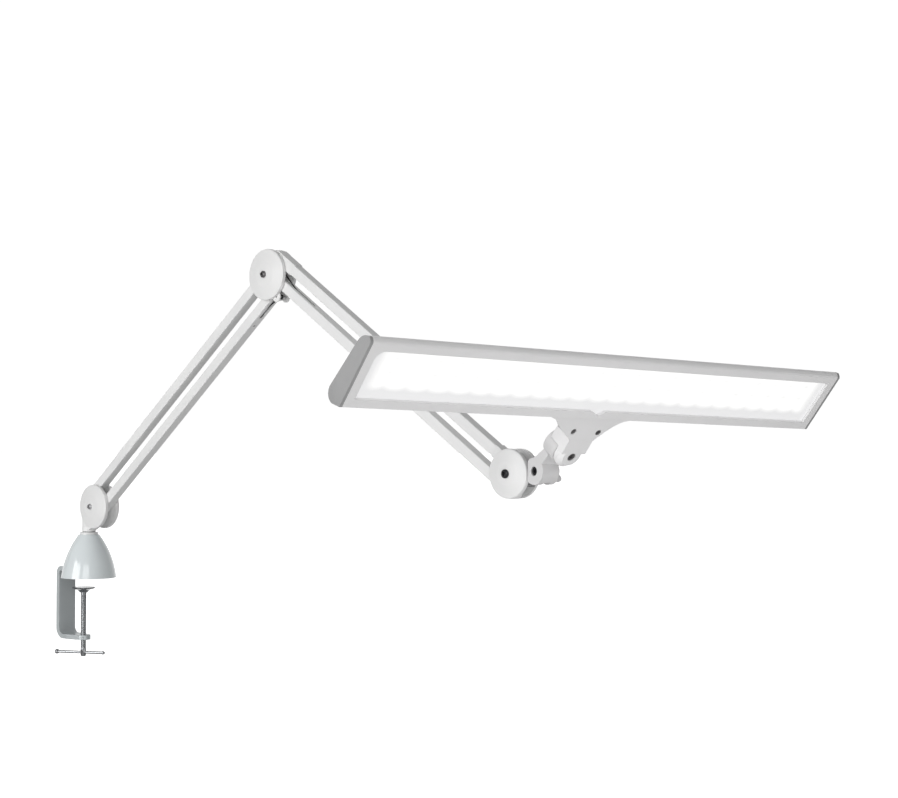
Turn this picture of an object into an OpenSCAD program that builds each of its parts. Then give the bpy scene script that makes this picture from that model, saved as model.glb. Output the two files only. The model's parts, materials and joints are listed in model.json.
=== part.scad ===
// Swing arm task lamp: table clamp, two spring-balanced parallelogram arms and a long LED head.
// Units are millimetres. The origin is the centre of the flat seat that rests on the table top,
// +X runs out along the arms and +Z is up.

/* [Clamp] */
// Width of the clamp strap
strap_w = 25; // [20:1:30]
// Thickness of the clamp strap
strap_t = 6; // [5:0.5:7]
// Distance from the post axis to the strap's outer face
strap_reach = 52.6; // [50:0.2:58]
// Height of the strap's top above the seat
strap_top = 13; // [13:0.5:16]
// Depth of the lower jaw's underside below the seat
strap_drop = 80; // [75:1:95]
// Distance from the post axis back to the clamp screw
screw_back = 10.5; // [8:0.5:14]
// Radius of the clamp screw
screw_r = 3.5; // [3:0.25:4]
// Gap between the seat and the pressure pad as drawn
pad_gap = 12.9; // [6:0.1:30]
// Radius of the pressure pad
pad_r = 15; // [12:0.5:17]
// Turn of the sliding bar seen from above
bar_yaw = 28; // [0:1:60]

/* [Post cover] */
// Radius of the bell at the table
bell_r = 34.7; // [32:0.5:38]
// Radius of the bell at its top
bell_top_r = 13; // [12:0.5:15]
// Height of the bell
bell_h = 55; // [50:1:60]

/* [Arms] */
// Length of each arm tube between its pivots
arm_len = 430; // [380:5:480]
// Outside width of the square tubes
tube_w = 12; // [10:0.5:12]
// Wall of the square tubes
tube_wall = 1; // [0.8:0.1:1.5]
// Elevation of the lower arm as drawn
lower_tilt = 38; // [20:1:60]
// Fall of the upper arm as drawn
upper_fall = 33.6; // [10:0.1:50]
// Radius of the shoulder covers
shoulder_r = 28; // [28:0.5:30]
// Radius of the elbow covers
elbow_r = 29.5; // [29:0.5:31]
// Radius of the wrist covers
wrist_r = 25.2; // [25:0.2:27]

/* [Head] */
// Length of the lamp head
head_len = 603; // [500:1:700]
// Height of the lamp head's face
face_h = 70.2; // [66:0.2:76]
// Sideways swing of the head as drawn
head_pan = -9.9; // [-15:0.1:15]
// Angle of the lit face below the horizontal as drawn
head_tilt = 39.4; // [20:0.1:60]
// Turn of the head about its face normal as drawn
head_spin = -1.9; // [-10:0.1:10]
// Number of LED columns
led_columns = 24; // [12:1:30]
// Number of LED rows
led_rows = 3; // [1:1:3]

/* [Hidden] */
$fn = 64;

// Clearances and small fixed sizes
run_fit = 0.05;
pin_r = 2;
bore_r = pin_r + run_fit;
tube_half = tube_w / 2;
plate_in = 6.3;
plate_t = 1.4;
plate_out = plate_in + plate_t;
cover_rim = 10.9;
cover_apex = 14;
cover_screw_r = 1.4;

// Clamp: levels
jaw_top = -strap_drop + strap_t;
pad_top = -pad_gap;
pad_low = pad_top - 6.8;
bar_z = -96.5;
screw_low = -101.4;
collar_top = bell_h + 3;

// Pivot places in the XZ plane, worked out from the shoulder
shoulder_c = [22, 91.4];
shoulder_top = shoulder_c + [-17.5, 11];
shoulder_low = shoulder_c + [-6, -13.4];
lower_run = arm_len * [cos(lower_tilt), sin(lower_tilt)];
elbow_top = shoulder_top + lower_run;
elbow_low = shoulder_low + lower_run;
elbow_c = elbow_top + [9.8, -1.3];
upper_run = arm_len * [cos(upper_fall), -sin(upper_fall)];
forearm_top = elbow_c + [13.5, 20.4];
forearm_low = elbow_c + [9.1, -4.4];
wrist_top = forearm_top + upper_run;
wrist_low = forearm_low + upper_run;
wrist_c = wrist_top + [-4, -5.3];

// Hook posts that the balance springs pull on
lower_post = elbow_c + [15, -26];
upper_post = elbow_c + [3.7, 17.6];
post_r = 1.6;
tab_r = 6;

// Head joints, measured in the frame of the pan pin
pan_x = wrist_c.x + 17;
pan_z = wrist_c.y;
pan_pin_r = 2.45;
tilt_at = [24.4, 3.1];
tilt_bolt_r = 3;
eye_r = 11;
ear_r = 13.6;
ear_in = 5;
ear_out = 12;
ear_back = 9.5;
swivel_at = [69.2, 15.2];
swivel_r = 3;
neck_u = -3;
neck_up = -85;
lap_n = -12;
lug_back = -30;
lug_r = 16;
flare_top = 37.2;
flare_len = 27.3;
flare_n = -3;

// Head shell: the section is bounded by a flat face and two round edges
face_half = face_h / 2;
top_round = [-0.5, 21.3];
top_round_r = 15.8;
low_round = [-13.3, -30.1];
low_round_r = 9.9;
frame_t = 5;
cap_t = 3;
wall = 2;
lens_half_u = head_len / 2 - 12;
lens_up = 25.5;
lens_down = -26.5;
round_step = top_round - low_round;
back_lean = atan2(round_step.x, round_step.y) - asin((top_round_r - low_round_r) / norm(round_step));
button_at = [200, -8];
inlet_at = [-45, -22];
screw_us = [-240, -85, 165, 240];
led_pitch_u = 24;
led_pitch_up = 15;

function polar(c, r, a) = [c.x + r * cos(a), c.y + r * sin(a)];
function arc(c, r, a0, a1, n) = [for (i = [0:n]) polar(c, r, a0 + (a1 - a0) * i / n)];
// A point of the head section frame (n, up) seen in the pan frame's XZ plane
function lap_pt(n, up) = swivel_at + n * [cos(head_tilt), -sin(head_tilt)]
    + up * [sin(head_tilt), cos(head_tilt)];
// Height n of the head's back face at a given place up the section
function back_n(up) = top_round.x - top_round_r / cos(back_lean)
    - (top_round.y - up) * tan(back_lean);
// Half width of the neck flare at a depth below the place where it starts
function flare_half(depth) = 48.5 - 33.6 * pow(depth / flare_len, 1 / 1.8);

// The flare reaches further out on the side away from the swivel pointer
function flare_left(depth) = lookup(depth, [[0, 55], [1, 50.5], [3.4, 45.9], [8.4, 40.4], [11.1, 37.7],
    [17.8, 27.9], [24, 17.8], [flare_len, 14.9]]);

module xz_extrude(y0, y1) {
    translate([0, y1, 0]) rotate([90, 0, 0]) linear_extrude(y1 - y0) children();
}

module pin_y(at, r, y0, y1) {
    xz_extrude(y0, y1) translate(at) circle(r);
}

module in_pan() {
    translate([pan_x, 0, pan_z]) rotate([0, 0, head_pan]) children();
}

module in_lap() {
    in_pan() translate([swivel_at.x, 0, swivel_at.y]) rotate([0, head_tilt, 0]) rotate([90, 0, 90])
        children();
}

module in_head() {
    in_lap() rotate([0, 0, head_spin]) translate([-neck_u, -neck_up, 0]) children();
}

module on_head_back(at) {
    translate([at.x, at.y, back_n(at.y)]) rotate([back_lean, 0, 0]) children();
}

// ---------- Clamp ----------

module strap_outline(grow) {
    upper = 9 - grow;
    lower = 14 - grow;
    left = -strap_reach + grow;
    top = strap_top - grow;
    bottom = -strap_drop + grow;
    middle = -40;
    translate([left, middle - 1]) square([60, 20]);
    translate([left + upper, middle]) square([60, top - middle]);
    translate([left, middle]) square([upper + 1, top - middle - upper]);
    translate([left + upper, top - upper]) circle(upper);
    translate([left + lower, bottom]) square([60, middle - bottom]);
    translate([left, bottom + lower]) square([lower + 1, middle - bottom - lower]);
    translate([left + lower, bottom + lower]) circle(lower);
}

module jaw_plan(tip_x, tip_r) {
    square_end = -30;
    tangent = atan2(strap_w / 2, square_end - tip_x)
        - acos(tip_r / norm([square_end - tip_x, strap_w / 2]));
    touch = polar([tip_x, 0], tip_r, tangent);
    polygon([[-60, -strap_w / 2], [square_end, -strap_w / 2], [touch.x, -touch.y], touch,
        [square_end, strap_w / 2], [-60, strap_w / 2]]);
    translate([tip_x, 0]) circle(tip_r);
}

module clamp_frame() {
    tip_r = 9;
    split = -30;
    color("lightsteelblue") difference() {
        xz_extrude(-strap_w / 2, strap_w / 2) difference() {
            strap_outline(0);
            strap_outline(strap_t);
        }
        // The upper jaw ends round the post, the lower one round the screw
        translate([0, 0, split]) linear_extrude(60) difference() {
            translate([-40, -20]) square([80, 40]);
            jaw_plan(0, strap_w / 2 - 0.01);
        }
        translate([0, 0, split - 60]) linear_extrude(60) difference() {
            translate([-40, -20]) square([80, 40]);
            jaw_plan(-screw_back, tip_r);
        }
        cylinder(r = 5, h = 20);
        translate([-screw_back, 0, -strap_drop - 1]) cylinder(r = screw_r + run_fit, h = strap_t + 2);
    }
}

module seat_pad() {
    color("dimgray") cylinder(r = 31, h = strap_top - strap_t);
}

module bell_cover() {
    sag = 4;
    chord = norm([bell_r - bell_top_r, bell_h]);
    ogive_r = chord * chord / (8 * sag) + sag / 2;
    lean = atan2(bell_r - bell_top_r, bell_h);
    centre = [(bell_r + bell_top_r) / 2, bell_h / 2] - (ogive_r - sag) * [cos(lean), sin(lean)];
    first = atan2(-centre.y, bell_r - centre.x);
    last = atan2(bell_h - centre.y, bell_top_r - centre.x);
    shell = 2;
    color("aliceblue") difference() {
        rotate_extrude($fn = 128) polygon(concat(
            arc(centre, ogive_r, first, last, 20),
            [[10.1, bell_h], [10.1, bell_h - shell]],
            [for (p = arc(centre, ogive_r - shell, last - 0.6, first, 20)) [p.x, max(p.y, 0)]]));
        translate([-60, -strap_w / 2 - 0.3, -1]) cube([40, strap_w + 0.6, strap_top + 1.4]);
    }
}

module post_socket() {
    color("whitesmoke") difference() {
        union() {
            translate([0, 0, strap_top - 5]) cylinder(r = 5, h = 6);
            translate([0, 0, strap_top]) cylinder(r = 16, h = 3);
            translate([0, 0, strap_top]) cylinder(r = 10, h = collar_top - strap_top);
            translate([0, 0, bell_h]) cylinder(r = 11.3, h = collar_top - bell_h);
        }
        translate([0, 0, 20]) cylinder(r = 6 + run_fit, h = 60);
    }
}

module clamp_pad() {
    color("gainsboro") translate([-screw_back, 0, 0]) difference() {
        rotate_extrude() polygon([[0, pad_top], [pad_r - 0.8, pad_top], [pad_r, pad_top - 0.7],
            [pad_r - 0.3, pad_top - 1.6], [8, pad_top - 3.6], [5.5, pad_low + 0.8], [5.2, pad_low],
            [0, pad_low]]);
        translate([0, 0, pad_low - 1]) cylinder(r = 2.6, h = 5);
    }
}

module clamp_screw() {
    color("gainsboro") translate([-screw_back, 0, 0]) difference() {
        union() {
            translate([0, 0, screw_low + 1]) cylinder(r = screw_r, h = pad_low - screw_low - 1.2);
            translate([0, 0, screw_low]) cylinder(r1 = screw_r - 0.8, r2 = screw_r, h = 1);
            translate([0, 0, pad_low - 1]) cylinder(r = 2.5, h = 4.7);
        }
        translate([0, 0, bar_z]) rotate([0, 0, bar_yaw]) rotate([0, 90, 0])
            cylinder(r = 1.9, h = 20, center = true);
    }
}

module sliding_bar() {
    left = -37;
    right = 27;
    color("gainsboro") translate([-screw_back, 0, bar_z]) rotate([0, 0, bar_yaw]) rotate([0, 90, 0])
        union() {
            translate([0, 0, left]) cylinder(r = 1.8, h = right - left);
            translate([0, 0, left]) sphere(3.15);
            translate([0, 0, right]) cylinder(r = 2.3, h = 1.2);
            translate([0, 0, right + 1.2]) cylinder(r1 = 2.3, r2 = 0.6, h = 2.3);
        }
}

// ---------- Knuckle pieces shared by shoulder, elbow and wrist ----------

module side_plates(c, r, pins, tabs) {
    for (y = [-plate_out, plate_in]) difference() {
        xz_extrude(y, y + plate_t) {
            translate(c) circle(r - 1.5);
            for (t = tabs) translate([t.x, t.y]) circle(t.z);
        }
        for (p = pins) pin_y(p, pin_r, y - 1, y + plate_t + 1);
        pin_y(c, cover_screw_r, y - 1, y + plate_t + 1);
    }
}

module knuckle_cover(c, r, side) {
    rim_t = 1.3;
    translate([c.x, 0, c.y]) rotate([-90 * side, 0, 0]) rotate_extrude($fn = 128)
        polygon([[r - rim_t, plate_in + 0.1], [r, plate_in + 0.1], [r, cover_rim - 1.2],
            [r - 0.35, cover_rim - 0.4], [r - 1.2, cover_rim], [r * 0.5, cover_rim + 2.4],
            [r * 0.2, cover_apex - 0.15], [4.6, cover_apex], [cover_screw_r, cover_apex],
            [cover_screw_r, plate_out], [4, plate_out], [4, cover_apex - 2.2],
            [r * 0.5, cover_rim + 0.8], [r - 2.4, cover_rim - 1.4], [r - rim_t, plate_out + 0.4]]);
}

module cover_screws(c, head_r, head_h, socket_r) {
    for (side = [-1, 1]) translate([c.x, 0, c.y]) rotate([-90 * side, 0, 0]) difference() {
        union() {
            translate([0, 0, plate_in + 0.2]) cylinder(r = cover_screw_r, h = cover_apex - plate_in);
            translate([0, 0, cover_apex]) cylinder(r = head_r, h = head_h * 0.6);
            translate([0, 0, cover_apex + head_h * 0.6])
                cylinder(r1 = head_r, r2 = head_r * 0.72, h = head_h * 0.4);
        }
        translate([0, 0, cover_apex + head_h * 0.35]) cylinder(r = socket_r, h = head_h, $fn = 6);
    }
}

module pins_between_plates(places) {
    for (p = places) pin_y(p, pin_r, -plate_out, plate_out);
}

// ---------- Shoulder ----------

module swivel_post() {
    color("silver") translate([0, 0, 20.4]) cylinder(r = 6, h = 42);
}

module swivel_washer() {
    color("black") translate([0, 0, collar_top]) difference() {
        cylinder(r = 8, h = 0.8);
        translate([0, 0, -1]) cylinder(r = 6.1, h = 3);
    }
}

module shoulder_bracket() {
    hub_low = collar_top + 0.8;
    color("whitesmoke") difference() {
        union() {
            translate([0, 0, hub_low]) cylinder(r = 8.7, h = 6.4);
            xz_extrude(-plate_in, plate_in) polygon([[-6.5, hub_low + 2], [-6.5, 84], [-3.5, 88], [4, 88],
                [8.4, 84], [8.4, 71], [13, 66.8], [12, hub_low + 4], [6.5, hub_low + 2]]);
        }
        translate([0, 0, 15]) cylinder(r = 6, h = 47.4);
    }
}

module shoulder_plates() {
    color("whitesmoke") side_plates(shoulder_c, shoulder_r, [shoulder_top, shoulder_low], []);
}

module shoulder_cover_front() {
    color("whitesmoke") knuckle_cover(shoulder_c, shoulder_r, -1);
}

module shoulder_cover_rear() {
    color("whitesmoke") knuckle_cover(shoulder_c, shoulder_r, 1);
}

module shoulder_screws() {
    color("silver") cover_screws(shoulder_c, 3.5, 3, 1.6);
}

module shoulder_pins() {
    color("silver") pins_between_plates([shoulder_top, shoulder_low]);
}

// ---------- Arm tubes ----------

// Runs along +X from the first pivot, with the wanted elevation
module along_arm(from, elevation) {
    translate([from.x, 0, from.y]) rotate([0, -elevation, 0]) children();
}

module rounded_square(w, r) {
    square([w, w - 2 * r], center = true);
    square([w - 2 * r, w], center = true);
    for (sx = [-1, 1], sy = [-1, 1]) translate([sx * (w / 2 - r), sy * (w / 2 - r)]) circle(r, $fn = 24);
}

module tube_bar(x0, x1, w, r) {
    translate([x0, 0, 0]) rotate([90, 0, 90]) linear_extrude(x1 - x0) rounded_square(w, r);
}

// Square tube with both ends cut back for its end fittings
module arm_tube(cut) {
    difference() {
        tube_bar(cut, arm_len - cut, tube_w, 1.2);
        tube_bar(cut - 1, arm_len - cut + 1, tube_w - 2 * tube_wall, 0.4);
    }
}

// Moulded eye at each end: an eye, a shoulder the size of the sleeve and a spigot inside the tube
module arm_ends(cut, sleeve_w) {
    for (end = [0, 1]) translate([end * arm_len, 0, 0]) mirror([end, 0, 0]) difference() {
        union() {
            pin_y([0, 0], sleeve_w / 2, -tube_half, tube_half);
            intersection() {
                tube_bar(0, cut, sleeve_w, 1.2);
                translate([0, -tube_half, -10]) cube([cut, tube_w, 20]);
            }
            tube_bar(cut - 1, cut + 16, tube_w - 2 * tube_wall - 0.1, 0.4);
        }
        pin_y([0, 0], bore_r, -10, 10);
    }
}

// Coil of the balance spring as its outer cylinder with an eye at each end
module spring_body(from, to) {
    for (x = [from, to]) translate([x, 0, 0]) rotate([90, 0, 0])
        cylinder(r = 2.2, h = 1.2, center = true);
    translate([from + 2, 0, 0]) rotate([0, 90, 0]) cylinder(r = 4.3, h = to - from - 4);
}

// Straight wire between two points of an XZ plane
module wire(a, b, r) {
    translate([a.x, 0, a.y]) rotate([0, 90 - atan2(b.y - a.y, b.x - a.x), 0])
        cylinder(r = r, h = norm(b - a), $fn = 16);
}

module lower_arm_top_tube() {
    color("whitesmoke") along_arm(shoulder_top, lower_tilt) arm_tube(12);
}

module lower_arm_top_ends() {
    color("whitesmoke") along_arm(shoulder_top, lower_tilt) arm_ends(12, tube_w);
}

module lower_arm_bottom_tube() {
    color("whitesmoke") along_arm(shoulder_low, lower_tilt) difference() {
        arm_tube(12);
        translate([arm_len - 34, -1.6, -10]) cube([60, 3.2, 10]);
        translate([arm_len - 48, 0, -10]) cylinder(r = 1.3, h = 8);
    }
}

module lower_arm_bottom_ends() {
    color("whitesmoke") along_arm(shoulder_low, lower_tilt) difference() {
        arm_ends(12, tube_w);
        translate([arm_len - 34, -1.6, -10]) cube([60, 3.2, 10.8]);
    }
}

module lower_arm_spring() {
    color("silver") along_arm(shoulder_low, lower_tilt) spring_body(arm_len - 210, arm_len - 60);
}

module lower_arm_hook() {
    dir = lower_run / arm_len;
    start = elbow_low - 57 * dir;
    bend = elbow_low - 32 * dir;
    color("silver") {
        wire(start, bend, 0.8);
        wire(bend, lower_post + [-1.9, -1.9], 0.8);
        translate([bend.x, 0, bend.y]) sphere(1.15);
    }
}

module upper_arm_top_tube() {
    color("whitesmoke") along_arm(forearm_top, -upper_fall) arm_tube(32);
}

module upper_arm_top_ends() {
    color("whitesmoke") along_arm(forearm_top, -upper_fall) arm_ends(32, tube_w + 1.4);
}

module upper_arm_bottom_tube() {
    color("whitesmoke") along_arm(forearm_low, -upper_fall) difference() {
        arm_tube(12);
        translate([-20, -1.6, 0]) cube([92, 3.2, 10]);
    }
}

module upper_arm_bottom_ends() {
    color("whitesmoke") along_arm(forearm_low, -upper_fall) difference() {
        arm_ends(12, tube_w);
        translate([-20, -1.6, -0.8]) cube([60, 3.2, 10]);
    }
}

module upper_arm_spring() {
    color("silver") along_arm(forearm_low, -upper_fall) spring_body(76, 226);
}

module upper_arm_hook() {
    dir = upper_run / arm_len;
    across = [-dir.y, dir.x];
    start = forearm_low + 73 * dir;
    bend = forearm_low + 36 * dir + 4.8 * across;
    color("silver") {
        wire(start, bend, 0.8);
        wire(bend, upper_post - 2.5 * across, 0.8);
        translate([bend.x, 0, bend.y]) sphere(1.15);
    }
}

// ---------- Elbow ----------

module elbow_plates() {
    color("whitesmoke") difference() {
        side_plates(elbow_c, elbow_r, [elbow_top, elbow_low, forearm_top, forearm_low],
            [[lower_post.x, lower_post.y, tab_r]]);
        for (p = [lower_post, upper_post]) pin_y(p, post_r, -10, 10);
    }
}

// The rim is cut away where the plate's tab comes out from under it
module elbow_cover(side) {
    difference() {
        knuckle_cover(elbow_c, elbow_r, side);
        pin_y(lower_post, tab_r + 0.3, -plate_out - 0.2, plate_out + 0.2);
    }
}

module elbow_cover_front() {
    color("whitesmoke") elbow_cover(-1);
}

module elbow_cover_rear() {
    color("whitesmoke") elbow_cover(1);
}

module elbow_screws() {
    color("silver") cover_screws(elbow_c, 3.9, 3, 1.8);
}

module elbow_pins() {
    color("silver") {
        pins_between_plates([elbow_top, elbow_low, forearm_top, forearm_low]);
        for (p = [lower_post, upper_post]) pin_y(p, post_r, -plate_out, plate_out);
    }
}

// ---------- Wrist ----------

module wrist_plates() {
    color("whitesmoke") side_plates(wrist_c, wrist_r, [wrist_top, wrist_low], []);
}

module wrist_cover_front() {
    color("whitesmoke") knuckle_cover(wrist_c, wrist_r, -1);
}

module wrist_cover_rear() {
    color("whitesmoke") knuckle_cover(wrist_c, wrist_r, 1);
}

module wrist_screws() {
    color("black") cover_screws(wrist_c, 4.5, 2.6, 2.2);
}

module wrist_pins() {
    color("silver") pins_between_plates([wrist_top, wrist_low]);
}

// Two blocks between the side plates carry the upright pan pin
module wrist_bearings() {
    block_w = 9;
    color("silver") for (z = [-13, 8.3]) translate([pan_x, 0, pan_z + z]) difference() {
        translate([-block_w / 2, -plate_in, 0]) cube([block_w, 2 * plate_in, 4.7]);
        translate([0, 0, -1]) cylinder(r = pan_pin_r + run_fit, h = 7);
    }
}

// ---------- Head joints ----------

module head_yoke() {
    color("whitesmoke") in_pan() difference() {
        union() {
            translate([0, 0, -8]) cylinder(r = 4.8, h = 16);
            xz_extrude(-2.6, 2.6)
                polygon([[0, -8], [6, -8], [20, -6.5], [20, 12], [6, 8], [0, 8]]);
            xz_extrude(-4.3, 4.3) translate(tilt_at) circle(eye_r);
        }
        translate([0, 0, -10]) cylinder(r = pan_pin_r, h = 20);
        pin_y(tilt_at, tilt_bolt_r + run_fit, -10, 10);
    }
}

module pan_pin() {
    color("silver") in_pan() translate([0, 0, -12.9]) cylinder(r = pan_pin_r, h = 25.8);
}

module tilt_link() {
    inner_gap_r = eye_r + 1.2;
    flat_left = tilt_at.x - 9;
    color("whitesmoke") difference() {
        union() {
            in_pan() xz_extrude(-ear_out, ear_back) difference() {
                union() {
                    translate(tilt_at) circle(ear_r);
                    polygon([lap_pt(-20, -12), polar(tilt_at, ear_r - 1.6, 30), tilt_at,
                        polar(tilt_at, ear_r - 1.6, 108), lap_pt(lug_back + 1.5, -9)]);
                }
                translate([flat_left - 30, tilt_at.y - 40]) square([30, 80]);
            }
            in_lap() translate([0, 0, lug_back]) cylinder(r = lug_r, h = lap_n - 0.3 - lug_back);
        }
        // The slot that the yoke's eye turns in, open on the side away from the lug
        in_pan() xz_extrude(-ear_in, ear_in) {
            translate(tilt_at) circle(inner_gap_r);
            for (turn = [0, 30]) translate(tilt_at) rotate(turn) translate([-40, -40]) square([40, 80]);
        }
        in_lap() translate([0, 0, lug_back - 1]) cylinder(r = swivel_r + run_fit, h = 30);
        in_pan() {
            pin_y(tilt_at, tilt_bolt_r, -20, 20);
            pin_y(tilt_at, 4.6, -20, -ear_out + 4.5);
        }
    }
}

module tilt_bolt() {
    head_t = 3;
    color("silver") in_pan() difference() {
        union() {
            pin_y(tilt_at, tilt_bolt_r, -ear_out + 4.5, ear_back + 9);
            pin_y(tilt_at, 4.5, -ear_out + 4.5 - head_t, -ear_out + 4.5);
        }
        xz_extrude(-ear_out, -ear_out + 3.2) translate(tilt_at) circle(2.2, $fn = 6);
    }
}

module tilt_washers() {
    color("dimgray") in_pan() for (w = [[-4.95, 0.6, 10], [4.35, 0.6, 10], [ear_back, 0.6, 7.5]])
        difference() {
            pin_y(tilt_at, w.z, w.x, w.x + w.y);
            pin_y(tilt_at, tilt_bolt_r + run_fit, w.x - 1, w.x + w.y + 1);
        }
}

module wing_nut() {
    near = ear_back + 0.7;
    hub_h = 6.5;
    color("whitesmoke") in_pan() difference() {
        union() {
            pin_y(tilt_at, 5.6, near, near + hub_h);
            // Two flared wings
            for (turn = [-75, 105]) translate([tilt_at.x, 0, tilt_at.y]) rotate([0, -turn, 0])
                translate([3, near + 1, -1.3]) rotate([0, 0, 38]) {
                    cube([7.5, 4, 2.6]);
                    translate([7.5, 2, 0]) cylinder(r = 3.6, h = 2.6);
                }
        }
        pin_y(tilt_at, tilt_bolt_r + run_fit, near - 1, near + 30);
    }
}

// The neck's shape is drawn about its own centre line
module neck_profile(from, to, inset) {
    steps = 14;
    depths = [for (i = [0:steps]) from + (to - from) * i / steps];
    polygon(concat(
        [for (d = depths) [neck_u + flare_half(d) - inset, -flare_top - d]],
        [for (i = [0:steps]) let (d = depths[steps - i]) [neck_u - flare_half(d) + inset, -flare_top - d]]));
}

module neck_plate_profile() {
    steps = 14;
    depths = [for (i = [0:steps]) flare_len * i / steps];
    polygon(concat(
        [for (d = depths) [neck_u + flare_half(d), -flare_top - d]],
        [for (i = [0:steps]) let (d = depths[steps - i]) [neck_u - flare_left(d), -flare_top - d]]));
}

module neck_screw_places() {
    for (side = [-1, 1]) translate([neck_u + side * 16, -53.6, 0]) children();
}

module neck_block() {
    half_w = 15;
    flare_end = -flare_top - flare_len;
    color("whitesmoke") in_head() difference() {
        union() {
            // Tongue inside the flare
            translate([0, 0, -15.9]) linear_extrude(9.8) neck_profile(8.5, flare_len, 2.4);
            // Block below the flare
            translate([neck_u - half_w, neck_up + 4, -26]) cube([2 * half_w, flare_end - neck_up - 4, 23]);
            // Front lug with a sloping nose
            translate([neck_u, neck_up, lap_n]) cylinder(r = half_w, h = 5);
            translate([neck_u, neck_up, lap_n + 5]) cylinder(r1 = half_w, r2 = 10.5, h = 4);
        }
        // Seat that clears the link's round lug
        translate([neck_u, neck_up, -40]) cylinder(r = lug_r + 0.5, h = 40 + lap_n);
        translate([neck_u, neck_up, lap_n - 1]) cylinder(r = swivel_r + run_fit, h = 20);
        translate([neck_u, neck_up, -6.5]) cylinder(r = 4.5, h = 10);
        neck_screw_places() translate([0, 0, -20]) cylinder(r = 1.5, h = 20);
    }
}

module neck_screws() {
    color("silver") in_head() neck_screw_places() difference() {
        union() {
            translate([0, 0, -15]) cylinder(r = 1.5, h = 11);
            translate([0, 0, -4.8]) cylinder(r = 3, h = 1);
        }
        translate([0, 0, -4.4]) cylinder(r = 1.4, h = 3, $fn = 6);
    }
}

module swivel_screw() {
    color("silver") in_head() translate([neck_u, neck_up, 0]) difference() {
        union() {
            translate([0, 0, lug_back + 0.5]) cylinder(r = swivel_r, h = 24);
            translate([0, 0, -6.5]) cylinder(r = 4.2, h = 2.6);
        }
        translate([0, 0, -5.4]) cylinder(r = 2.1, h = 3, $fn = 6);
    }
}

// ---------- Lamp head ----------

// Section of the head in (n, up), as a solid outline set in by a given amount
module head_section(inset) {
    lean = [cos(180 - back_lean), sin(180 - back_lean)];
    top_r = top_round_r - inset;
    low_r = low_round_r - inset;
    top_touch = top_round + top_r * lean;
    low_touch = low_round + low_r * lean;
    face = -inset;
    top_rise = sqrt(top_r * top_r - pow(face - top_round.x, 2));
    lip_turn = -62;
    low_lip = polar(low_round, low_r, lip_turn);
    intersection() {
        union() {
            translate(top_round) circle(top_r, $fn = 96);
            translate(low_round) circle(low_r, $fn = 72);
            polygon([[face, top_round.y + top_rise], top_round, top_touch, low_touch, low_round, low_lip,
                [face, -face_half + inset]]);
            polygon([top_touch, low_touch, [face, -20], [face, 20]]);
        }
        translate([-60, -60]) square([60 + face, 120]);
        // The face's upper edge is rolled back
        polygon([[1, -60], [1, 33.2], [0, 33.2], [-1, 34.7], [-2.8, 35.9], [-6, 37.3], [-6, 60],
            [-60, 60], [-60, -60]]);
    }
}

module head_bar(u0, u1, inset) {
    translate([u0, 0, 0]) rotate([90, 0, 90]) linear_extrude(u1 - u0) rotate(-90) mirror([1, 0])
        head_section(inset);
}

module slab(n0, n1) {
    translate([-head_len, -60, n0]) linear_extrude(n1 - n0) square([2 * head_len, 120]);
}

module lens_opening(grow) {
    notch = 5;
    corner = 9;
    left = -lens_half_u - grow;
    right = lens_half_u + grow;
    top = lens_up + grow;
    translate([left, lens_down - grow]) square([right - left, top - corner - lens_down + grow]);
    translate([left + corner, top - corner - 1]) square([right - left - corner, corner + 1]);
    intersection() {
        translate([left + corner, top - corner]) circle(corner);
        translate([left, top - corner - 1]) square([corner + 1, corner + 1]);
    }
    polygon([[neck_u - 11, lens_down - grow + 0.01], [neck_u, lens_down - grow - notch],
        [neck_u + 7, lens_down - grow + 0.01]]);
}

module front_frame() {
    step_n = -3;
    end = head_len / 2 - cap_t;
    color("whitesmoke") in_head() difference() {
        union() {
            intersection() {
                head_bar(-end, end, 0);
                slab(-frame_t, 1);
            }
            translate([0, 0, -frame_t]) linear_extrude(frame_t + flare_n) {
                neck_plate_profile();
                translate([neck_u - 55, -flare_top - 0.1]) square([103, 4]);
            }
            translate([0, 0, -22]) linear_extrude(22 + flare_n) neck_profile(3, flare_len, 0);
        }
        // Pocket for the neck block's tongue
        translate([0, 0, -16]) linear_extrude(10) neck_profile(8, flare_len + 0.8, 2);
        translate([0, 0, step_n - 0.1]) linear_extrude(5) lens_opening(0);
        translate([-lens_half_u - 4, lens_down - 6.5, -frame_t - 1])
            cube([2 * lens_half_u + 8, lens_up - lens_down + 10, frame_t + 1 + step_n]);
        neck_screw_places() {
            translate([0, 0, -16.5]) cylinder(r = 1.6, h = 20);
            translate([0, 0, -4.8]) cylinder(r = 3.2, h = 4);
        }
    }
}

module rear_housing() {
    end = head_len / 2 - cap_t;
    color("whitesmoke") in_head() difference() {
        union() {
            difference() {
                intersection() {
                    head_bar(-end, end, 0);
                    slab(-60, -frame_t);
                }
                intersection() {
                    head_bar(-end - 1, end + 1, wall);
                    slab(-60, -frame_t + 1);
                }
            }
            // Screw bosses that the LED board rests on
            for (u = screw_us) on_head_back([u, 0]) translate([0, 0, 0.8]) cylinder(r = 3.2, h = 5.8);
        }
        on_head_back(button_at) cylinder(r = 6.3, h = 12, center = true);
        on_head_back(inlet_at) cylinder(r = 4.55, h = 12, center = true);
        for (u = screw_us) on_head_back([u, 0]) cylinder(r = 1.3, h = 11, center = true);
    }
}

module head_end_cap(side) {
    outer = side * head_len / 2;
    inner = side * (head_len / 2 - cap_t);
    in_head() intersection() {
        head_bar(min(outer, inner), max(outer, inner), 0);
        slab(-60, 1);
    }
}

module end_cap_left() {
    color("gray") head_end_cap(-1);
}

module end_cap_right() {
    color("gray") head_end_cap(1);
}

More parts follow.
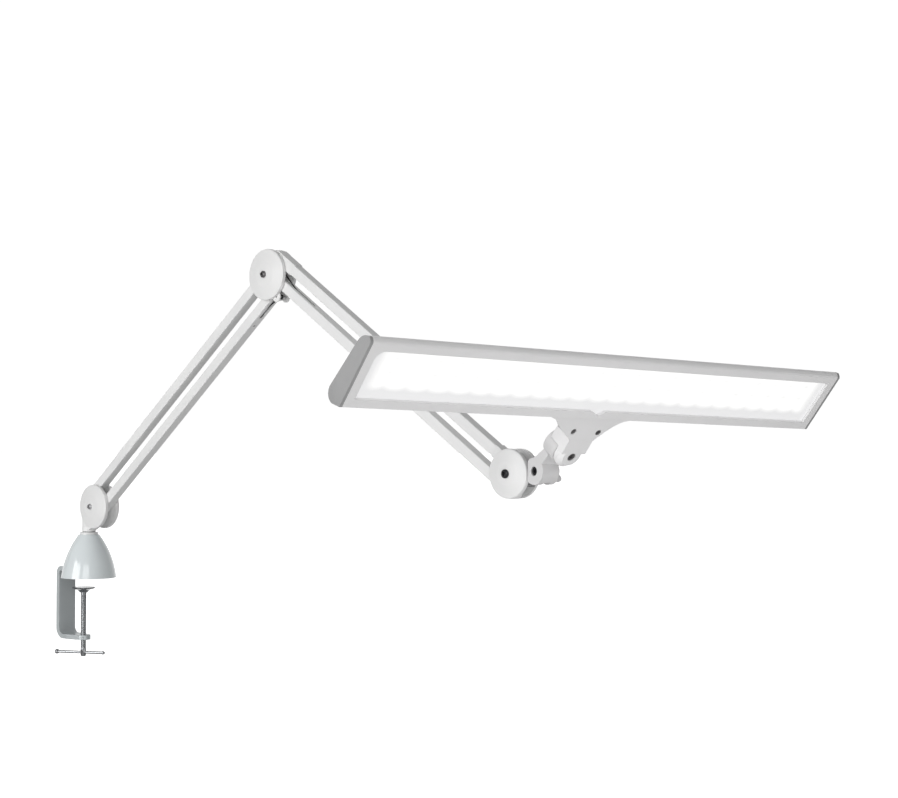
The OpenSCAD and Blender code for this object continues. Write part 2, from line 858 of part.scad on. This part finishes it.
module diffuser() {
    gap = 0.2;
    color("white") in_head() translate([-lens_half_u - 4 + gap, lens_down - 6.5 + gap, -frame_t + 0.1])
        cube([2 * lens_half_u + 8 - 2 * gap, lens_up - lens_down + 10 - 2 * gap, 1.8]);
}

module led_board() {
    board_half_u = led_columns * led_pitch_u / 2 + 3;
    color("white") in_head() translate([-board_half_u, -20, -12])
        cube([2 * board_half_u, 40, 1.6]);
}

module leds() {
    chip = 3.4;
    color("khaki") in_head() for (i = [0:led_columns - 1], j = [0:led_rows - 1])
        translate([(i - (led_columns - 1) / 2) * led_pitch_u - chip / 2,
            (j - (led_rows - 1) / 2) * led_pitch_up - chip / 2, -10.4]) cube([chip, chip, 1.2]);
}

module driver_board() {
    color("darkgreen") in_head() {
        translate([-20, -27, -15.4]) cube([150, 26, 1.4]);
        translate([-12, -24, -18]) cube([22, 14, 2.6]);
        translate([20, -24, -17.6]) cube([14, 16, 2.2]);
        translate([60, -22, -17.8]) cube([18, 10, 2.4]);
    }
}

module power_inlet() {
    color("black") in_head() on_head_back(inlet_at) difference() {
        union() {
            translate([0, 0, -1]) cylinder(r = 4.4, h = 8);
            translate([0, 0, -1]) cylinder(r = 6, h = 1);
        }
        translate([0, 0, -2]) cylinder(r = 2.8, h = 8);
    }
}

module housing_screws() {
    color("silver") in_head() for (u = screw_us) on_head_back([u, 0]) difference() {
        union() {
            translate([0, 0, -1]) cylinder(r = 2.6, h = 1);
            translate([0, 0, -0.5]) cylinder(r = 1.3, h = 5.8);
        }
        translate([0, 0, -2]) cylinder(r = 1.2, h = 1.6, $fn = 6);
    }
}

module power_button() {
    color("gainsboro") in_head() on_head_back(button_at) translate([0, 0, -1.6]) cylinder(r = 6, h = 3.4);
}

clamp_frame();
seat_pad();
bell_cover();
post_socket();
clamp_pad();
clamp_screw();
sliding_bar();
swivel_post();
swivel_washer();
shoulder_bracket();
shoulder_plates();
shoulder_cover_front();
shoulder_cover_rear();
shoulder_screws();
shoulder_pins();
lower_arm_top_tube();
lower_arm_top_ends();
lower_arm_bottom_tube();
lower_arm_bottom_ends();
lower_arm_spring();
lower_arm_hook();
elbow_plates();
elbow_cover_front();
elbow_cover_rear();
elbow_screws();
elbow_pins();
upper_arm_top_tube();
upper_arm_top_ends();
upper_arm_bottom_tube();
upper_arm_bottom_ends();
upper_arm_spring();
upper_arm_hook();
wrist_plates();
wrist_cover_front();
wrist_cover_rear();
wrist_screws();
wrist_pins();
wrist_bearings();
head_yoke();
pan_pin();
tilt_link();
tilt_bolt();
tilt_washers();
wing_nut();
neck_block();
neck_screws();
swivel_screw();
front_frame();
rear_housing();
end_cap_left();
end_cap_right();
diffuser();
led_board();
leds();
driver_board();
power_inlet();
housing_screws();
power_button();
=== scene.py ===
"""Finish for a clamp-on swing arm task lamp: materials, coil springs, a threaded clamp screw and a lit lens.

Everything is in metres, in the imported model's own frame.
"""

import json
import math

import bmesh
import bpy
from mathutils import Matrix, Vector


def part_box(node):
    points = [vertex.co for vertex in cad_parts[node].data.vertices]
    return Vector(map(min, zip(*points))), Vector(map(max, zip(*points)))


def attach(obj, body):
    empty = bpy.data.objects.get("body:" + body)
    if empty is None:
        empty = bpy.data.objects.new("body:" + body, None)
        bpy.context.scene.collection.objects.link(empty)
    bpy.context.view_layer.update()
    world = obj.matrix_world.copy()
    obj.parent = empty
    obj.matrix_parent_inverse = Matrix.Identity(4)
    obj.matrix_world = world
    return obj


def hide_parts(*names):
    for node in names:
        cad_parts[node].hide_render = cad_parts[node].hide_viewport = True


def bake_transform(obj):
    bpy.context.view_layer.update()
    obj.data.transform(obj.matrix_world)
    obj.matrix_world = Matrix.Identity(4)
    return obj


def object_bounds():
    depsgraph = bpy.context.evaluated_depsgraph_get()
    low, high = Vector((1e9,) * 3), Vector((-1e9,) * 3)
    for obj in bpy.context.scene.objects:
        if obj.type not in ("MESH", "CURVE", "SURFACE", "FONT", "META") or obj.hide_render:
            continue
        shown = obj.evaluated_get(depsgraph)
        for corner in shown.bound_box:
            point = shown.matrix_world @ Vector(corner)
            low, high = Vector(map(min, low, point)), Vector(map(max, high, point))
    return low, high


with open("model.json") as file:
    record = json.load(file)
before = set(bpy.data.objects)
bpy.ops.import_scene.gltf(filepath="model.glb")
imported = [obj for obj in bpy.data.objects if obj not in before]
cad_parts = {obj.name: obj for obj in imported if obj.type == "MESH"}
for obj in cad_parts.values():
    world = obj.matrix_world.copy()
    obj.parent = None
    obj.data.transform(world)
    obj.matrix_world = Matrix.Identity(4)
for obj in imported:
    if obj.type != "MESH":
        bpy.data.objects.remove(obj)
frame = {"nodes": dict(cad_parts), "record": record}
CAD_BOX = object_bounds()
NODES = frame["nodes"]
JOINTS = {j["name"]: j for j in frame["record"]["behaviour"]["joints"]}


# ---------- Places taken from the frame ----------

def joint_pos(name):
    return Vector(JOINTS[name]["pos_m"])


def joint_axis(name):
    return Vector(JOINTS[name]["axis"]).normalized()


def box_centre(node):
    low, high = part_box(node)
    return (Vector(low) + Vector(high)) / 2


# Out of the head's face, along the head, and up its face
HEAD_N = joint_axis("head_rotate")
HEAD_U = (box_centre("end_cap_right") - box_centre("end_cap_left")).normalized()
HEAD_U = (HEAD_U - HEAD_N * HEAD_U.dot(HEAD_N)).normalized()
HEAD_UP = HEAD_N.cross(HEAD_U).normalized()


# ---------- Material helpers ----------

def new_material(name):
    mat = bpy.data.materials.new(name)
    mat.use_nodes = True
    tree = mat.node_tree
    return mat, tree, tree.nodes["Principled BSDF"]


def node(tree, kind, **values):
    n = tree.nodes.new(kind)
    for key, value in values.items():
        setattr(n, key, value)
    return n


def noise(tree, coords, scale, detail=3.0):
    n = node(tree, "ShaderNodeTexNoise")
    n.inputs["Scale"].default_value = scale
    n.inputs["Detail"].default_value = detail
    tree.links.new(coords, n.inputs["Vector"])
    return n.outputs["Fac"]


def spread(tree, value, low, high, start=0.35, stop=0.65):
    """Maps start..stop to low..high."""
    n = node(tree, "ShaderNodeMapRange")
    n.inputs["From Min"].default_value = start
    n.inputs["From Max"].default_value = stop
    n.inputs["To Min"].default_value = low
    n.inputs["To Max"].default_value = high
    tree.links.new(value, n.inputs["Value"])
    return n.outputs["Result"]


def fade_out(tree, value, start, stop):
    """One up to start, nothing from stop on, and a soft step between them."""
    n = node(tree, "ShaderNodeMapRange", interpolation_type="SMOOTHSTEP")
    n.inputs["From Min"].default_value = start
    n.inputs["From Max"].default_value = stop
    n.inputs["To Min"].default_value = 1.0
    n.inputs["To Max"].default_value = 0.0
    tree.links.new(value, n.inputs["Value"])
    return n.outputs["Result"]


def two_tone(tree, factor, a, b):
    """Mixes colour a at 0 with colour b at 1."""
    n = node(tree, "ShaderNodeMix", data_type="RGBA")
    n.inputs[6].default_value = (*a, 1)
    n.inputs[7].default_value = (*b, 1)
    tree.links.new(factor, n.inputs[0])
    return n.outputs[2]


def finish_surface(name, light, dark, rough, metallic=0.0, grain=(1, 1, 1), tone_scale=18.0,
                   bump_scale=900.0, bump=0.05, bump_depth=0.00006, edge=0.0004, coat=0.0):
    """A finish with drifting tone, uneven gloss and a fine surface texture, its edges softly rounded."""
    mat, tree, bsdf = new_material(name)
    coords = node(tree, "ShaderNodeTexCoord").outputs["Object"]
    stretch = node(tree, "ShaderNodeMapping")
    stretch.inputs["Scale"].default_value = grain
    tree.links.new(coords, stretch.inputs["Vector"])
    tone = spread(tree, noise(tree, coords, tone_scale), 0, 1)
    tree.links.new(two_tone(tree, tone, light, dark), bsdf.inputs["Base Color"])
    gloss = spread(tree, noise(tree, stretch.outputs["Vector"], tone_scale * 7), rough[0], rough[1])
    tree.links.new(gloss, bsdf.inputs["Roughness"])
    round_edge = node(tree, "ShaderNodeBevel", samples=4)
    round_edge.inputs["Radius"].default_value = edge
    texture = node(tree, "ShaderNodeBump")
    texture.inputs["Strength"].default_value = bump
    texture.inputs["Distance"].default_value = bump_depth
    tree.links.new(noise(tree, stretch.outputs["Vector"], bump_scale, 2.0), texture.inputs["Height"])
    tree.links.new(round_edge.outputs["Normal"], texture.inputs["Normal"])
    tree.links.new(texture.outputs["Normal"], bsdf.inputs["Normal"])
    bsdf.inputs["Metallic"].default_value = metallic
    bsdf.inputs["Coat Weight"].default_value = coat
    bsdf.inputs["Coat Roughness"].default_value = 0.06
    return mat


WHITE_PAINT = finish_surface("white_paint", (0.74, 0.735, 0.737), (0.70, 0.695, 0.698), (0.36, 0.46),
                             bump=0.25, bump_scale=1400)
WHITE_COAT = finish_surface("white_powder_coat", (0.84, 0.84, 0.835), (0.80, 0.80, 0.80), (0.40, 0.52),
                            bump=0.35, bump_scale=1100)
WHITE_PLASTIC = finish_surface("white_plastic", (0.82, 0.82, 0.815), (0.785, 0.785, 0.785), (0.34, 0.44),
                               bump=0.15, bump_scale=1800)
HEAD_PLASTIC = finish_surface("head_plastic", (0.88, 0.875, 0.878), (0.85, 0.845, 0.848), (0.38, 0.48),
                              bump=0.2, bump_scale=1800)
# End caps: the head's own white plastic drawn dark grey, as painted shade for the face turned away from the
# light.
CAP_PAINTED_SHADE = finish_surface("cap_painted_shade", (0.37, 0.37, 0.372), (0.32, 0.32, 0.322), (0.34, 0.44),
                             bump=0.15, bump_scale=1800)
BELL_PLASTIC = finish_surface("bell_plastic", (0.76, 0.81, 0.82), (0.73, 0.78, 0.795), (0.12, 0.2),
                              bump=0.04, coat=0.5)
# The clamp strap: the bell's pale blue-grey, drawn darker as painted shade for its shadowed inner face.
STRAP_PAINT_AND_SHADE = finish_surface("strap_paint_and_painted_shade", (0.55, 0.585, 0.595), (0.51, 0.545, 0.555), (0.28, 0.4),
                             metallic=0.2, bump=0.2, edge=0.0008)
STEEL = finish_surface("bright_steel", (0.62, 0.62, 0.63), (0.50, 0.50, 0.51), (0.22, 0.36), metallic=1.0,
                       grain=(1, 1, 12), bump=0.12, bump_scale=500, edge=0.0003)
CHROME = finish_surface("clamp_chrome", (0.46, 0.47, 0.48), (0.34, 0.35, 0.36), (0.14, 0.26), metallic=1.0,
                        grain=(1, 1, 6), bump=0.1, bump_scale=500, edge=0.0003)
# Black steel for the wrist screws and tilt bolt; on the pull wires it is painted shadow of their slots.
BLACK_STEEL_AND_SLOT_SHADOW = finish_surface("black_steel", (0.02, 0.02, 0.022), (0.035, 0.035, 0.038), (0.25, 0.4),
                             metallic=0.6, bump=0.15)
DARK_STEEL = finish_surface("dark_steel", (0.20, 0.195, 0.195), (0.14, 0.137, 0.137), (0.3, 0.42),
                            metallic=0.9, bump=0.15)
# Black plastic for the tilt washers and power inlet; on the swivel washer it is painted shade for the dark
# gap under the shoulder hub.
BLACK_PLASTIC_AND_GAP_SHADE = finish_surface("black_plastic", (0.018, 0.018, 0.018), (0.03, 0.03, 0.031), (0.4, 0.55),
                               bump=0.3)
FELT = finish_surface("seat_felt", (0.09, 0.09, 0.095), (0.14, 0.14, 0.145), (0.85, 0.95), bump=1.0,
                      bump_scale=700, bump_depth=0.0004)
BOARD = finish_surface("led_board", (0.85, 0.85, 0.82), (0.8, 0.8, 0.77), (0.35, 0.5), bump=0.1)
DRIVER = finish_surface("driver_board", (0.02, 0.13, 0.05), (0.03, 0.18, 0.07), (0.3, 0.45), bump=0.2)
PHOSPHOR = finish_surface("led_phosphor", (0.9, 0.78, 0.25), (0.85, 0.7, 0.2), (0.3, 0.4), bump=0.1)


def dress(names, mat):
    for name in names:
        ob = NODES[name]
        ob.data.materials.clear()
        ob.data.materials.append(mat)


dress(["lower_arm_top_tube", "lower_arm_bottom_tube", "upper_arm_top_tube", "upper_arm_bottom_tube",
       "shoulder_plates", "elbow_plates", "wrist_plates", "shoulder_bracket"], WHITE_COAT)
dress(["lower_arm_top_ends", "lower_arm_bottom_ends", "upper_arm_top_ends", "upper_arm_bottom_ends",
       "shoulder_cover_front", "shoulder_cover_rear", "elbow_cover_front", "elbow_cover_rear",
       "wrist_cover_front", "wrist_cover_rear", "post_socket"], WHITE_PLASTIC)
dress(["head_yoke", "tilt_link", "wing_nut"], WHITE_PAINT)
dress(["neck_block", "front_frame", "rear_housing", "power_button"], HEAD_PLASTIC)
# The end caps take the dark grey painted shade.
dress(["end_cap_left", "end_cap_right"], CAP_PAINTED_SHADE)
dress(["bell_cover"], BELL_PLASTIC)
# The strap's darker tone is painted shade.
dress(["clamp_frame"], STRAP_PAINT_AND_SHADE)
dress(["swivel_post", "shoulder_screws", "shoulder_pins", "elbow_pins", "wrist_pins",
       "wrist_bearings", "pan_pin", "housing_screws"], STEEL)
dress(["clamp_pad", "sliding_bar"], CHROME)
dress(["wrist_screws", "tilt_bolt"], BLACK_STEEL_AND_SLOT_SHADOW)
dress(["neck_screws", "swivel_screw", "elbow_screws"], DARK_STEEL)
# The swivel washer is drawn black as painted shade of the gap between the hub and the socket collar.
dress(["swivel_washer", "tilt_washers", "power_inlet"], BLACK_PLASTIC_AND_GAP_SHADE)
dress(["seat_pad"], FELT)
dress(["led_board"], BOARD)
dress(["driver_board"], DRIVER)
dress(["leds"], PHOSPHOR)


# ---------- Mesh helpers ----------

def add_mesh(name, verts, faces, mat, smooth=True):
    mesh = bpy.data.meshes.new(name)
    mesh.from_pydata(verts, [], faces)
    mesh.materials.append(mat)
    for p in mesh.polygons:
        p.use_smooth = smooth
    ob = bpy.data.objects.new(name, mesh)
    bpy.context.scene.collection.objects.link(ob)
    return ob


def tube_along(name, path, radius, mat, sides=12):
    """A round wire through the points of a path, closed at both ends."""
    verts, faces = [], []
    ahead = (path[1] - path[0]).normalized()
    side = ahead.orthogonal().normalized()
    for i, p in enumerate(path):
        nxt = path[min(i + 1, len(path) - 1)]
        prv = path[max(i - 1, 0)]
        turn = (nxt - prv).normalized()
        side = (side - turn * side.dot(turn)).normalized()
        other = turn.cross(side)
        for k in range(sides):
            a = 2 * math.pi * k / sides
            verts.append(p + radius * (math.cos(a) * side + math.sin(a) * other))
    for i in range(len(path) - 1):
        for k in range(sides):
            a, b = i * sides + k, i * sides + (k + 1) % sides
            faces.append((a, b, b + sides, a + sides))
    faces.append(tuple(reversed(range(sides))))
    faces.append(tuple(range(len(verts) - sides, len(verts))))
    return add_mesh(name, verts, faces, mat)


# ---------- Balance springs ----------

def coil_spring(name, node_name, along, body, coil_r=0.0043, wire_r=0.0006, pitch=0.0016):
    """A close-wound extension spring, lying where the CAD cylinder lies, with a half loop at each end."""
    mesh = NODES[node_name].data
    spans = [v.co.dot(along) for v in mesh.vertices]
    low, high = min(spans), max(spans)
    middle = box_centre(node_name)
    origin = middle + along * ((low + high) / 2 - middle.dot(along))
    across = Vector((0, 1, 0))
    up = along.cross(across).normalized()
    hook = 0.0042
    start, stop = -(high - low) / 2 + hook, (high - low) / 2 - hook
    radius = coil_r - wire_r
    turns = int((stop - start) / pitch)
    path = []
    for k in range(9):
        a = math.pi * (1 - k / 8)
        path.append(origin + along * (start - hook * 0.75 * math.sin(a))
                    + up * (radius * math.cos(a)))
    steps = turns * 10
    for k in range(1, steps + 1):
        a = 2 * math.pi * k / 10
        path.append(origin + along * (start + (stop - start) * k / steps)
                    + radius * (math.cos(a) * up + math.sin(a) * across))
    for k in range(1, 9):
        a = math.pi * k / 8
        path.append(origin + along * (stop + hook * 0.75 * math.sin(a))
                    + up * (radius * math.cos(a)))
    ob = tube_along(name, path, wire_r, STEEL, 6)
    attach(ob, body)
    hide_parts(node_name)
    return ob


LOWER_DIR = (joint_pos("elbow_level") - joint_pos("lower_arm_lift")).normalized()
UPPER_DIR = (joint_pos("wrist_level") - joint_pos("upper_arm_lift")).normalized()
coil_spring("lower_arm_coil", "lower_arm_spring", LOWER_DIR, "lower_arm_bottom")
coil_spring("upper_arm_coil", "upper_arm_spring", UPPER_DIR, "upper_arm_bottom")


# ---------- Threaded clamp screw ----------

def clamp_screw():
    """The CAD screw's outline with a rolled thread, a plain nose and a plain end that holds the bar."""
    low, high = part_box("clamp_screw")
    cx, cy = (low[0] + high[0]) / 2, (low[1] + high[1]) / 2
    bar_low, bar_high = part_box("sliding_bar")
    bar_z = (bar_low[2] + bar_high[2]) / 2
    r = (high[0] - low[0]) / 2
    pitch, depth = 0.00125, 0.0003
    run_out = 0.002
    nose_r, nose_bevel = 0.0025, 0.0003
    shoulder = high[2] - 0.0037
    thread_from = bar_z + 0.0045
    rings_per_turn = 8
    sides = 40
    # Height, radius and whether the thread is cut there
    rows = [
        (low[2], 0.0, False),
        (low[2], r - 0.0008, False),
        (low[2] + 0.001, r, False),
        (thread_from, r, False),
    ]
    count = int((shoulder - thread_from) / (pitch / rings_per_turn))
    for i in range(1, count):
        rows.append((thread_from + (shoulder - thread_from) * i / count, r, True))
    rows += [
        (shoulder, r - 0.0006, False),
        (shoulder, nose_r, False),
        (high[2] - nose_bevel, nose_r, False),
        (high[2], nose_r - nose_bevel, False),
        (high[2], 0.0, False),
    ]
    verts, faces = [], []
    for z, radius, threaded in rows:
        for k in range(sides):
            a = 2 * math.pi * k / sides
            rr = radius
            if threaded:
                phase = (z / pitch - k / sides) % 1.0
                fade = min(1.0, (z - thread_from) / run_out, (shoulder - z) / run_out)
                rr = radius - depth * fade * abs(2 * phase - 1)
            verts.append((cx + rr * math.cos(a), cy + rr * math.sin(a), z))
    for i in range(len(rows) - 1):
        for k in range(sides):
            a, b = i * sides + k, i * sides + (k + 1) % sides
            faces.append((a, b, b + sides, a + sides))
    ob = add_mesh("threaded_screw", verts, faces, CHROME)
    bm = bmesh.new()
    bm.from_mesh(ob.data)
    bmesh.ops.remove_doubles(bm, verts=bm.verts, dist=1e-7)
    bmesh.ops.recalc_face_normals(bm, faces=bm.faces)
    bm.to_mesh(ob.data)
    bm.free()
    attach(ob, "screw")
    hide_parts("clamp_screw")
    return ob


clamp_screw()


# ---------- Lens ----------

def lens_material():
    """Opal plate lit from behind by a grid of small lamps, which fade at the plate's border."""
    mat, tree, bsdf = new_material("lit_opal_lens")
    coords = node(tree, "ShaderNodeTexCoord").outputs["Object"]
    split = node(tree, "ShaderNodeSeparateXYZ")
    tree.links.new(coords, split.inputs["Vector"])
    lamp_pitch, row_pitch = 0.024, 0.015
    # The middle row lies this far above the plate's middle, with one row above it and one below
    rows_raised = 0.0115
    # A spot is wider along the plate than across it
    squeeze = 0.6
    spot_full, spot_gone = 0.006, 0.014
    end_full, end_gone = 0.270, 0.286

    def calc(kind, a, b=None):
        n = node(tree, "ShaderNodeMath", operation=kind)
        for socket, value in ((0, a), (1, b)):
            if value is None:
                continue
            if isinstance(value, (int, float)):
                n.inputs[socket].default_value = value
            else:
                tree.links.new(value, n.inputs[socket])
        return n.outputs[0]

    # Distance to the nearest lamp, in the plate's own plane
    always_positive = 24 * lamp_pitch
    du = calc("PINGPONG", calc("ADD", split.outputs["X"], always_positive), lamp_pitch / 2)
    du = calc("SUBTRACT", lamp_pitch / 2, du)
    du = calc("MULTIPLY", du, squeeze)
    up = calc("SUBTRACT", split.outputs["Y"], rows_raised)
    row = calc("MINIMUM", calc("MAXIMUM", calc("ROUND", calc("DIVIDE", up, row_pitch)), -1.0), 1.0)
    dv = calc("SUBTRACT", up, calc("MULTIPLY", row, row_pitch))
    dist = calc("SQRT", calc("ADD", calc("MULTIPLY", du, du), calc("MULTIPLY", dv, dv)))
    spot = fade_out(tree, dist, spot_full, spot_gone)
    # The rows of lamps stop short of both ends
    end = fade_out(tree, calc("ABSOLUTE", split.outputs["X"]), end_full, end_gone)
    glow = calc("MULTIPLY", spot, end)
    glow = calc("MULTIPLY", glow, spread(tree, noise(tree, coords, 60), 0.85, 1.0))
    tree.links.new(two_tone(tree, glow, (0.30, 0.30, 0.305), (0.32, 0.32, 0.315)), bsdf.inputs["Base Color"])
    tree.links.new(two_tone(tree, glow, (0.60, 0.60, 0.602), (0.88, 0.88, 0.87)),
                   bsdf.inputs["Emission Color"])
    bsdf.inputs["Emission Strength"].default_value = 1.0
    tree.links.new(spread(tree, noise(tree, coords, 300), 0.42, 0.5), bsdf.inputs["Roughness"])
    return mat


def lens():
    """The opal plate: a flat grid with thickness, where the CAD plate lies."""
    mesh = NODES["diffuser"].data
    us = [v.co.dot(HEAD_U) for v in mesh.vertices]
    vs = [v.co.dot(HEAD_UP) for v in mesh.vertices]
    ns = [v.co.dot(HEAD_N) for v in mesh.vertices]
    half_u, half_v = (max(us) - min(us)) / 2, (max(vs) - min(vs)) / 2
    centre = (HEAD_U * (max(us) + min(us)) / 2 + HEAD_UP * (max(vs) + min(vs)) / 2
              + HEAD_N * (max(ns) + min(ns)) / 2)
    half_n = (max(ns) - min(ns)) / 2
    cols, rows = 72, 10
    verts, faces = [], []
    for side in (1, -1):
        for j in range(rows + 1):
            for i in range(cols + 1):
                verts.append((half_u * (2 * i / cols - 1), half_v * (2 * j / rows - 1), side * half_n))
    layer = (cols + 1) * (rows + 1)
    for j in range(rows):
        for i in range(cols):
            a = j * (cols + 1) + i
            b, c, d = a + 1, a + cols + 2, a + cols + 1
            faces.append((a, b, c, d))
            faces.append((a + layer, d + layer, c + layer, b + layer))
    rim = list(range(cols + 1))
    rim += [j * (cols + 1) + cols for j in range(1, rows + 1)]
    rim += [rows * (cols + 1) + i for i in range(cols - 1, -1, -1)]
    rim += [j * (cols + 1) for j in range(rows - 1, 0, -1)]
    for a, b in zip(rim, rim[1:] + rim[:1]):
        faces.append((b, a, a + layer, b + layer))
    ob = add_mesh("opal_lens", verts, faces, lens_material(), smooth=False)
    turn = Matrix((HEAD_U, HEAD_UP, HEAD_N)).transposed().to_4x4()
    ob.matrix_world = Matrix.Translation(centre) @ turn
    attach(ob, "head")
    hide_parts("diffuser")
    return ob


lens()


# ---------- Pull wires ----------

def pull_wire(name, node_name, body, start, bend, post, loop_body=None):
    """Wire from the spring's end, through the slot, to a closed loop round the hook post.

    With a loop_body the wire is left unattached to any body, fixed where it is drawn.
    """
    wire_r, loop_r = 0.0007, 0.0024
    ahead = (post - bend).normalized()
    away = Vector((0, 1, 0)).cross(ahead).normalized()
    path = [start, start.lerp(bend, 0.5), bend.lerp(start, 0.06), bend, bend.lerp(post, 0.06)]
    loop_start = post - ahead * loop_r * 1.8
    path += [bend.lerp(loop_start, t) for t in (0.3, 0.6, 0.9)]
    for k in range(15):
        a = math.radians(-160 + k * 320 / 14)
        path.append(post + loop_r * (math.cos(a) * ahead + math.sin(a) * away))
    # The steel wire is drawn black: painted shadow of the hollow slot it runs through.
    ob = tube_along(name, path, wire_r, BLACK_STEEL_AND_SLOT_SHADOW, 8)
    if loop_body:
        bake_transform(ob)
    else:
        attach(ob, body)
    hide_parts(node_name)
    return ob


UPPER_ACROSS = Vector((-UPPER_DIR.z, 0, UPPER_DIR.x))
ELBOW = box_centre("elbow_screws")
# The elbow's hook posts, from its centre
LOWER_POST = ELBOW + Vector((0.015, 0, -0.026))
UPPER_POST = ELBOW + Vector((0.0037, 0, 0.0176))
LOW_PIVOT = joint_pos("lower_arm_link") + (joint_pos("elbow_level") - joint_pos("lower_arm_lift"))
UP_PIVOT = joint_pos("upper_arm_link")
pull_wire("lower_arm_wire", "lower_arm_hook", "lower_arm_bottom",
          LOW_PIVOT - 0.057 * LOWER_DIR, LOW_PIVOT - 0.032 * LOWER_DIR, LOWER_POST)
pull_wire("upper_arm_wire", "upper_arm_hook", "upper_arm_bottom",
          UP_PIVOT + 0.073 * UPPER_DIR, UP_PIVOT + 0.036 * UPPER_DIR + 0.0048 * UPPER_ACROSS, UPPER_POST,
          loop_body="elbow")


# ---------- Floor, light and camera ----------

def floor():
    size, z = 40.0, CAD_BOX[0][2] - 0.12
    ob = add_mesh("floor", [(-size, -size, z), (size, -size, z), (size, size, z), (-size, size, z)],
                  [(0, 1, 2, 3)], None, smooth=False)
    mat, tree, bsdf = new_material("pale_floor")
    coords = node(tree, "ShaderNodeTexCoord").outputs["Object"]
    tree.links.new(two_tone(tree, spread(tree, noise(tree, coords, 0.4), 0, 1), (0.93, 0.93, 0.93),
                            (0.95, 0.95, 0.95)), bsdf.inputs["Base Color"])
    bsdf.inputs["Roughness"].default_value = 0.9
    bsdf.inputs["Emission Color"].default_value = (1, 1, 1, 1)
    bsdf.inputs["Emission Strength"].default_value = 1.0
    ob.data.materials.clear()
    ob.data.materials.append(mat)
    # The floor stays bright without throwing its light up at the lamp or hiding the low light
    ob.visible_diffuse = False
    ob.visible_glossy = False
    ob.visible_shadow = False


def area_light(name, at, target, size, power):
    data = bpy.data.lights.new(name, "AREA")
    data.shape = "RECTANGLE"
    data.size, data.size_y = size
    data.energy = power
    ob = bpy.data.objects.new(name, data)
    ob.location = at
    ob.rotation_euler = (Vector(target) - Vector(at)).to_track_quat("-Z", "Y").to_euler()
    bpy.context.scene.collection.objects.link(ob)
    return ob


def studio():
    world = bpy.data.worlds.new("studio")
    bpy.context.scene.world = world
    world.use_nodes = True
    tree = world.node_tree
    back = tree.nodes["Background"]
    coords = node(tree, "ShaderNodeTexCoord").outputs["Generated"]
    # A white wall behind the lamp, a dim room elsewhere
    lean = node(tree, "ShaderNodeVectorMath", operation="DOT_PRODUCT")
    lean.inputs[1].default_value = (-0.68, 0.73, 0.02)
    tree.links.new(coords, lean.inputs[0])
    level = spread(tree, lean.outputs["Value"], 0.25, 1.02, 0.5, 0.92)
    tree.links.new(level, back.inputs["Strength"])
    back.inputs["Color"].default_value = (1, 1, 1, 1)
    middle = (0.4, 0, 0.2)
    area_light("key", (-0.1, -2.9, 0.5), middle, (1.8, 1.8), 50)
    area_light("front", (2.3, -2.5, 0.9), middle, (1.6, 1.6), 23)
    area_light("low_fill", (0.9, -0.9, -1.6), middle, (1.8, 1.8), 3)
    area_light("head_fill", (1.38, -0.1, -0.32), (0.7, 0, 0.25), (0.8, 0.8), 2.7)


def camera():
    azimuth, elevation, roll = math.radians(42.98), math.radians(-1.35), math.radians(0.115)
    back = Vector((math.cos(elevation) * math.sin(azimuth), -math.cos(elevation) * math.cos(azimuth),
                   math.sin(elevation)))
    right = Vector((0, 0, 1)).cross(back).normalized()
    turn = Matrix((right, back.cross(right), back)).transposed().to_4x4()
    data = bpy.data.cameras.new("camera")
    data.lens, data.sensor_width = 70.86, 36
    data.clip_start, data.clip_end = 0.05, 100
    ob = bpy.data.objects.new("camera", data)
    ob.matrix_world = (Matrix.Translation((1.8850, -1.3462, 0.1760)) @ turn
                       @ Matrix.Rotation(roll, 4, "Z"))
    bpy.context.scene.collection.objects.link(ob)
    bpy.context.scene.camera = ob


floor()
studio()
camera()
bpy.context.scene.view_settings.view_transform = "Standard"

bpy.context.view_layer.update()
